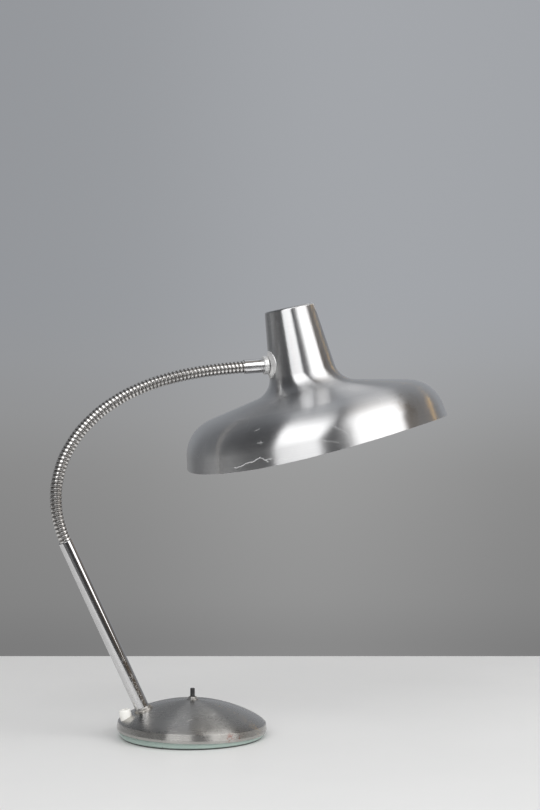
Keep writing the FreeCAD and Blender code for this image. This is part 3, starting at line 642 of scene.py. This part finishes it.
def bandSection(name, radius, width, depth, edge, height):
    # the outline of a flat band with rounded edges, standing at the coil's radius
    bpy.ops.object.select_all(action="DESELECT")
    bpy.ops.mesh.primitive_plane_add(size=1)
    ring = bpy.context.object
    ring.name = ring.data.name = name
    bpy.ops.object.mode_set(mode="EDIT")
    bpy.ops.mesh.select_all(action="SELECT")
    bpy.ops.transform.resize(value=(depth, width, 1), center_override=(0, 0, 0))
    bpy.ops.mesh.bevel(offset=edge, affect="VERTICES", segments=3)
    bpy.ops.mesh.delete(type="ONLY_FACE")
    bpy.ops.mesh.select_all(action="SELECT")
    bpy.ops.transform.rotate(value=math.pi / 2, orient_axis="X", center_override=(0, 0, 0))
    bpy.ops.transform.translate(value=(radius - depth / 2, 0, height))
    bpy.ops.object.mode_set(mode="OBJECT")
    return ring


def woundSpan(ring, link):
    screw = ring.modifiers.new("turns", "SCREW")
    screw.angle = 2 * math.pi * neckSizes["turnsPerLink"]
    screw.screw_offset = link
    screw.iterations = 1
    screw.steps = screw.render_steps = round(neckSizes["turnsPerLink"] * neckSizes["stepsPerTurn"])
    screw.use_smooth_shade = True
    applyModifiers(ring)
    bpy.ops.object.mode_set(mode="EDIT")
    bpy.ops.mesh.select_all(action="SELECT")
    bpy.ops.mesh.fill_holes(sides=20)
    bpy.ops.mesh.normals_make_consistent(inside=False)
    bpy.ops.object.mode_set(mode="OBJECT")
    return ring


def makeNeck():
    route = makeRoute()
    size = neckSizes
    link = size["length"] / size["joints"]
    pitch = link / size["turnsPerLink"]
    rib = woundSpan(bandSection("rib", size["radius"], size["ribWidth"], size["ribDepth"],
                                size["ribEdge"], 0), link)
    strip = woundSpan(bandSection("strip", size["radius"] - size["stripDrop"], size["stripWidth"],
                                  size["stripDepth"], size["stripEdge"], pitch / 2), link)
    rings = size["coreRings"]
    outside = [Vector((size["core"], link * ring / rings)) for ring in range(rings + 1)]
    bore = size["core"] - size["coreWall"]
    inside = [Vector((bore, link * ring / rings)) for ring in range(rings, -1, -1)]
    core = turnedPiece("core", outside + inside, 24)
    bodies = [joint["parent"] for joint in frame["joints"] if joint["name"].startswith("neck_")]
    bodies.append("neck_end")
    for index in range(size["joints"]):
        turn = 2 * math.pi * size["turnsPerLink"] * index
        shift = Matrix.Translation((0, 0, link * index)) @ Matrix.Rotation(turn, 4, "Z")
        made = []
        for kind, source, material, slot in (("neck_rib", rib, ribChrome, "neck_wire"),
                                             # the groove strip gets the dark steel: painted shade between the
                                             # ribs
                                             ("neck_strip", strip, grooveShadeSteel, "neck_wire"),
                                             ("neck_hose", core, neckCore, "neck_core")):
            piece = source.copy()
            piece.data = source.data.copy()
            piece.name = piece.data.name = "%s_%02d" % (kind, index)
            bpy.context.scene.collection.objects.link(piece)
            piece.data.transform(shift)
            bendy = piece.modifiers.new("route", "CURVE")
            bendy.object = route
            bendy.deform_axis = "POS_Z"
            applyModifiers(piece)
            smoothOver(piece, 50)
            dress(piece, material)
            made.append(piece)
        start = neckSpot(route, link * index)
        end = neckSpot(route, link * (index + 1))
        for piece in made:
            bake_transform(piece)
        # the last piece also stands for the last link
        covered = [index] if index < size["joints"] - 1 else [index, index + 1]
        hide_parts(*["neck_winding_%02d" % number for number in covered])
        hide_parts(*["neck_liner_%02d" % number for number in covered])
    for source in (rib, strip, core, route):
        bpy.data.objects.remove(source)


def neckSpot(route, along):
    # a point on the neck's centre line, from the route's own sampled line
    line = bpy.data.meshes.new_from_object(route)
    points = [vertex.co.copy() for vertex in line.vertices]
    bpy.data.meshes.remove(line)
    passed = 0.0
    for one, two in zip(points, points[1:]):
        step = (two - one).length
        if passed + step >= along:
            return one.lerp(two, (along - passed) / step)
        passed += step
    return points[-1]


makeNeck()
print("gooseneck made")


# Base: dome, weight, stem and the small parts on it

coverSizes = {"radius": 0.0908, "bandFoot": 0.0076, "top": 0.0447, "crownBow": 0.172, "edgeBow": 0.045,
              "shoulder": 0.0793, "wall": 0.0009, "bandRound": 0.0006, "bandLean": 0.0011, "tiltDeg": 1.3,
              "footStep": 0.0006, "footRise": 0.0030, "footRound": 0.003}


def makeCover():
    size = coverSizes
    crown = Vector((0, size["top"] - size["crownBow"]))
    lean = math.asin(size["shoulder"] / size["crownBow"])
    edge = crown + Vector((math.sin(lean), math.cos(lean))) * (size["crownBow"] - size["edgeBow"])
    outline = []
    for step in range(22):
        angle = lean * (21 - step) / 21
        outline.append(crown + Vector((math.sin(angle), math.cos(angle))) * size["crownBow"])
    end = math.asin((size["radius"] - size["bandLean"] - edge.x) / size["edgeBow"])
    rim = []
    for step in range(6):
        angle = end + (lean - end) * step / 6
        rim.append(edge + Vector((math.sin(angle), math.cos(angle))) * size["edgeBow"])
    bandTop = rim[0]
    corner = roundedOutline([(size["radius"] - size["footStep"], size["bandFoot"]),
                             (size["radius"], size["bandFoot"] + size["footRise"], size["footRound"]),
                             (bandTop.x, bandTop.y, size["bandRound"]),
                             tuple(rim[1])], closed=False, steps=4)
    shell = turnedPiece("domed_cover", corner + rim[2:] + outline, around=160, closed=False)
    wall = shell.modifiers.new("wall", "SOLIDIFY")
    wall.thickness = size["wall"]
    wall.offset = -1
    applyModifiers(shell)
    # the cover sits a little crooked on its weight, higher at the stem's side
    pivot = Matrix.Translation((0, 0, size["top"]))
    shell.data.transform(pivot @ Matrix.Rotation(math.radians(size["tiltDeg"]), 4, "Y") @ pivot.inverted())
    smoothOver(shell, 30)
    dress(shell, coverMetal)
    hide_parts("base_cover")
    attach(shell, "base")


weightSizes = {"lip": 0.0079, "slimmer": 0.975, "lower": 0.92}


def makeWeight():
    # the iron block, its upper part drawn slimmer so that the crooked cover clears it
    lip = weightSizes["lip"]
    node = nodes["base_weight"]
    weight = node.copy()
    weight.data = node.data.copy()
    weight.name = weight.data.name = "iron_weight"
    bpy.context.scene.collection.objects.link(weight)
    pickOnly(weight)
    bpy.ops.object.mode_set(mode="EDIT")
    bpy.ops.mesh.select_all(action="SELECT")
    bpy.ops.mesh.remove_doubles(threshold=1e-6)
    bpy.ops.object.mode_set(mode="OBJECT")
    for vertex in weight.data.vertices:
        if vertex.co.z > lip:
            vertex.co.x *= weightSizes["slimmer"]
            vertex.co.y *= weightSizes["slimmer"]
            vertex.co.z = lip + (vertex.co.z - lip) * weightSizes["lower"]
    smoothOver(weight, 30)
    dress(weight, greenIron)
    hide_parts("base_weight")
    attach(weight, "base")


bushSizes = {"place": 0.0835, "leanDeg": 12.0, "radius": 0.0071, "top": 0.0357, "height": 0.0165,
             "bore": 0.0036, "outerRound": 0.0013, "boreRound": 0.0006}


def makeBush():
    size = bushSizes
    outline = roundedOutline([(size["bore"], -size["height"]), (size["radius"], -size["height"]),
                              (size["radius"], 0, size["outerRound"]),
                              (size["bore"], 0, size["boreRound"])])
    bush = turnedPiece("white_bush", outline, around=48)
    lean = math.radians(size["leanDeg"])
    standOn(bush, (-size["place"], 0, size["top"]), (-math.sin(lean), 0, math.cos(lean)))
    smoothOver(bush, 40)
    dress(bush, whitePlastic)
    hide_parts("cord_gland")
    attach(bush, "base")


def stemEnds():
    # the ends of the stem's axis, from the outer corners of its box
    low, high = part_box("stem_tube")
    lean = math.radians(stemSizes["leanDeg"])
    radius = (high[1] - low[1]) / 2
    across = Vector((math.cos(lean), 0, math.sin(lean))) * radius
    foot = Vector((high[0] - across.x, 0, low[2] + across.z))
    head = Vector((low[0] + across.x, 0, high[2] - across.z))
    return foot, head, Vector((-math.sin(lean), 0, math.cos(lean)))


def makeStem():
    # a plated tube; it reaches a little further up the neck than the solid one does
    size = stemSizes
    low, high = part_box("stem_tube")
    radius = (high[1] - low[1]) / 2
    foot, head, axis = stemEnds()
    length = (head - foot).length + size["longer"]
    bore = radius - size["wall"]
    tube = turnedPiece("stem_tube_long", roundedOutline([
        (bore, 0), (radius, 0), (radius, length, size["round"]),
        (bore, length, size["boreRound"])]), around=72)
    standOn(tube, foot, axis)
    smoothOver(tube, 40)
    dress(tube, stemChrome)
    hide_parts("stem_tube")
    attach(tube, "base")


collarSizes = {"bore": 0.00875, "flange": 0.0120, "flangeTop": 0.0016, "ring": 0.0108, "top": 0.0045,
               "sunk": 0.0014, "drop": 0.0033, "step": 0.0004, "flangeRound": 0.0005,
               "innerRound": 0.0004, "topRound": 0.0008, "boreRound": 0.0002}


def makeFootCollar():
    # a low flanged ring round the stem's end, square to the stem
    size = collarSizes
    outline = roundedOutline([(size["bore"], -size["sunk"]), (size["flange"], -size["sunk"]),
                              (size["flange"], size["flangeTop"], size["flangeRound"]),
                              (size["ring"], size["flangeTop"] + size["step"], size["innerRound"]),
                              (size["ring"], size["top"], size["topRound"]),
                              (size["bore"], size["top"], size["boreRound"])])
    collar = turnedPiece("foot_collar_ring", outline, around=72)
    foot, _, axis = stemEnds()
    standOn(collar, foot - axis * size["drop"], axis)
    smoothOver(collar, 40)
    dress(collar, satinNickel)
    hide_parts("foot_collar")
    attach(collar, "base")


switchSizes = {"top": 0.0447, "skirt": 0.0072, "waist": 0.0058, "crown": 0.0044, "height": 0.0032,
               "bore": 0.0038, "button": 0.0029, "buttonTop": 0.0102, "buttonFoot": 0.0034, "slide": 0.0001,
               "sunk": 0.0009, "skirtUp": 0.0003, "skirtRound": 0.0002, "waistUp": 0.0014,
               "waistRound": 0.0012, "crownRound": 0.0003, "dip": 0.0002, "boreRound": 0.0001,
               "tipRound": 0.0009, "dish": 0.0012, "dishDeep": 0.0003, "dishRound": 0.0008}


def makeSwitch():
    size = switchSizes
    foot = size["top"] - size["sunk"]
    crown = size["top"] + size["height"]
    nut = turnedPiece("switch_nut_shell", roundedOutline([
        (size["bore"], foot), (size["skirt"], foot),
        (size["skirt"], size["top"] + size["skirtUp"], size["skirtRound"]),
        (size["waist"], size["top"] + size["waistUp"], size["waistRound"]),
        (size["crown"], crown, size["crownRound"]),
        (size["bore"], crown - size["dip"], size["boreRound"])]), around=64)
    smoothOver(nut, 40)
    dress(nut, satinNickel)
    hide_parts("switch_nut")
    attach(nut, "base")
    tip = crown + size["buttonTop"]
    buttonFoot = crown - size["buttonFoot"]
    radius = size["button"] - size["slide"]
    dishFloor = tip - size["dishDeep"]
    button = turnedPiece("switch_button_cap", roundedOutline([
        (0, buttonFoot), (radius, buttonFoot), (radius, tip, size["tipRound"]),
        (size["dish"], dishFloor, size["dishRound"]), (0, dishFloor)], closed=False), around=48, closed=False)
    smoothOver(button, 40)
    dress(button, blackPlastic)
    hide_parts("switch_button")
    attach(button, "button")


makeCover()
makeWeight()
makeBush()
makeStem()
makeFootCollar()
makeSwitch()
print("base made")


# Floor, light and camera

studio = {"viewTurnDeg": 15.0, "fill": 0.50, "cameraAt": (-0.4193, -1.9283, 0.3924), "lens": 108.15,
          "pitchDeg": 0.264, "floorBack": 0.643, "floorFront": 3.0, "floorSide": 3.0, "tableEdge": 0.40,
          "warmLampTurn": 2.27,
          "lightDistance": 1.7, "lightsLookAt": (0.08, 0, 0.34)}


def makeFloor():
    finish = Finish("paleFloor", {"Roughness": 0.45})
    here = finish.place()
    cloud = finish.noise(here, 5.0, 5.0, 0.6)
    x, y = finish.split(here)[:2]
    turn = math.radians(studio["viewTurnDeg"])
    front = (x * math.sin(turn) + y * math.cos(turn)) * -1
    near = finish.smooth(front, -0.5, 0.45)
    pale = finish.blend(cloud * 0.3 + near * 0.7, colour(0.90, 0.895, 0.885), colour(0.74, 0.74, 0.735))
    # in reflections only, the floor turns near black past the table's edge: a painted dark reflection of the
    # unlit room beyond the table; the camera and the light see it pale
    glossy = finish.add("ShaderNodeLightPath", output=3)
    darkReflectionMask = finish.smooth(front, studio["tableEdge"], studio["tableEdge"] + 0.06)
    finish.feed(Base_Color=finish.blend(darkReflectionMask * glossy, pale, colour(0.05, 0.05, 0.05)))
    bpy.ops.object.select_all(action="DESELECT")
    bpy.ops.mesh.primitive_plane_add(size=1)
    floor = bpy.context.object
    floor.name = "floor"
    depth = studio["floorBack"] + studio["floorFront"]
    away = Matrix.Rotation(-turn, 4, "Z")
    middle = Matrix.Translation((0, studio["floorBack"] - depth / 2, 0))
    floor.data.transform(away @ middle @ Matrix.Diagonal((2 * studio["floorSide"], depth, 1, 1)))
    floor.data.materials.append(finish.material)


def makeWorld():
    # the camera sees a grey wall; metal sees that wall behind the lamp and a dark room on the other sides
    world = bpy.data.worlds.new("studio")
    bpy.context.scene.world = world
    world.use_nodes = True
    tree = world.node_tree
    tree.nodes.clear()
    sky = Nodes(tree)
    x, y, z = sky.split(sky.add("ShaderNodeTexCoord", output=0))
    turn = math.radians(studio["viewTurnDeg"])
    side = x * math.cos(turn) - y * math.sin(turn)
    away = x * math.sin(turn) + y * math.cos(turn)
    level = (side * side + away * away) ** 0.5 + 0.001
    height = z * 0.5 + 0.5
    wall = sky.ramp(height, (0.0, 0.18), (0.43, 0.195), (0.443, 0.222), (0.467, 0.238), (0.482, 0.252),
                    (0.5, 0.285), (0.516, 0.30), (0.62, 0.305), (0.9, 0.30), (0.94, 0.55), (0.98, 0.50),
                    (1.0, 0.14))
    glowLow = sky.softRamp(side + 0.5, (0.3, 0.50), (0.42, 0.53), (0.52, 0.70), (0.62, 0.56),
                           (0.70, 0.50)) * 2.0
    glowHigh = sky.softRamp(side + 0.5, (0.3, 0.50), (0.42, 0.53), (0.52, 0.64), (0.64, 0.62),
                            (0.75, 0.60)) * 2.0
    tint = sky.smooth(height, 0.475, 0.54)
    glow = glowLow + (glowHigh - glowLow) * tint
    wall = sky.blend(tint, colour(1, 1, 1), colour(0.965, 1.0, 1.06)).tinted(wall * glow)
    room = sky.ramp(height, (0.0, 0.10), (0.5, 0.06), (0.8, 0.06), (0.93, 0.08), (1.0, 0.14))
    behind = sky.ramp(away / level * 0.5 + 0.5, (0.5, 0.0), (0.60, 0.30), (0.85, 0.55), (0.94, 1.0))
    warm = sky.smooth(side / level, 0.35, 0.95)
    room = sky.blend(warm, colour(0.95, 0.98, 1.05), colour(1.9, 1.55, 1.2)).tinted(room)
    metalSees = sky.blend(behind, room, wall)
    # a warm lamp far behind on the right, seen as a glint in the shade's right end
    around = sky.turnOf(away * -1, side)
    apart = ((around - studio["warmLampTurn"]) ** 2.0) ** 0.5
    strip = (1 - sky.smooth(apart, 0.0, 0.035)) * (1 - sky.smooth(z, 0.38, 0.5))
    metalSees = sky.blend(strip * sky.smooth(z, 0.22, 0.34), metalSees, colour(5.0, 3.0, 0.9))
    camera = sky.add("ShaderNodeLightPath", output=0)
    glossy = sky.add("ShaderNodeLightPath", output=3)
    clear = sky.add("ShaderNodeLightPath", output=6)
    backdrop = sky.add("ShaderNodeBackground", None, {"Color": sky.blend(camera, metalSees, wall)})
    grey = studio["fill"]
    fill = sky.add("ShaderNodeBackground", None, {"Color": colour(grey, grey, grey)})
    mixed = sky.add("ShaderNodeMixShader", None, {0: camera + glossy + clear, 1: fill, 2: backdrop})
    output = tree.nodes.new("ShaderNodeOutputWorld")
    tree.links.new(mixed.socket, output.inputs["Surface"])


def softBox(name, aroundDeg, upDeg, widthDeg, tallDeg, radiance):
    # angles as the lamp sees them; around counts from the camera's side, to its right
    distance = studio["lightDistance"]
    around = math.radians(-90 - studio["viewTurnDeg"] + aroundDeg)
    up = math.radians(upDeg)
    light = bpy.data.lights.new(name, "AREA")
    light.shape = "RECTANGLE"
    light.size = 2 * distance * math.tan(math.radians(widthDeg / 2))
    light.size_y = 2 * distance * math.tan(math.radians(tallDeg / 2))
    light.energy = radiance * math.pi * light.size * light.size_y
    lamp = bpy.data.objects.new(name, light)
    bpy.context.scene.collection.objects.link(lamp)
    middle = Vector(studio["lightsLookAt"])
    toward = Vector((math.cos(around) * math.cos(up), math.sin(around) * math.cos(up), math.sin(up)))
    lamp.location = middle + toward * distance
    lamp.rotation_euler = (-toward).to_track_quat("-Z", "Y").to_euler()


def makeCamera():
    data = bpy.data.cameras.new("camera")
    data.sensor_fit = "HORIZONTAL"
    data.sensor_width = 36.0
    data.lens = studio["lens"]
    camera = bpy.data.objects.new("camera", data)
    bpy.context.scene.collection.objects.link(camera)
    turn = math.radians(studio["viewTurnDeg"])
    pitch = math.radians(studio["pitchDeg"])
    aim = Vector((math.sin(turn) * math.cos(pitch), math.cos(turn) * math.cos(pitch), math.sin(pitch)))
    camera.location = studio["cameraAt"]
    camera.rotation_euler = aim.to_track_quat("-Z", "Y").to_euler()
    bpy.context.scene.camera = camera


makeFloor()
makeWorld()
softBox("softLeft", -19, 32, 39, 56, 2.2)
softBox("softRight", 53, 32, 49, 56, 2.2)
makeCamera()
bpy.context.scene.view_settings.view_transform = "Standard"
print("studio made")
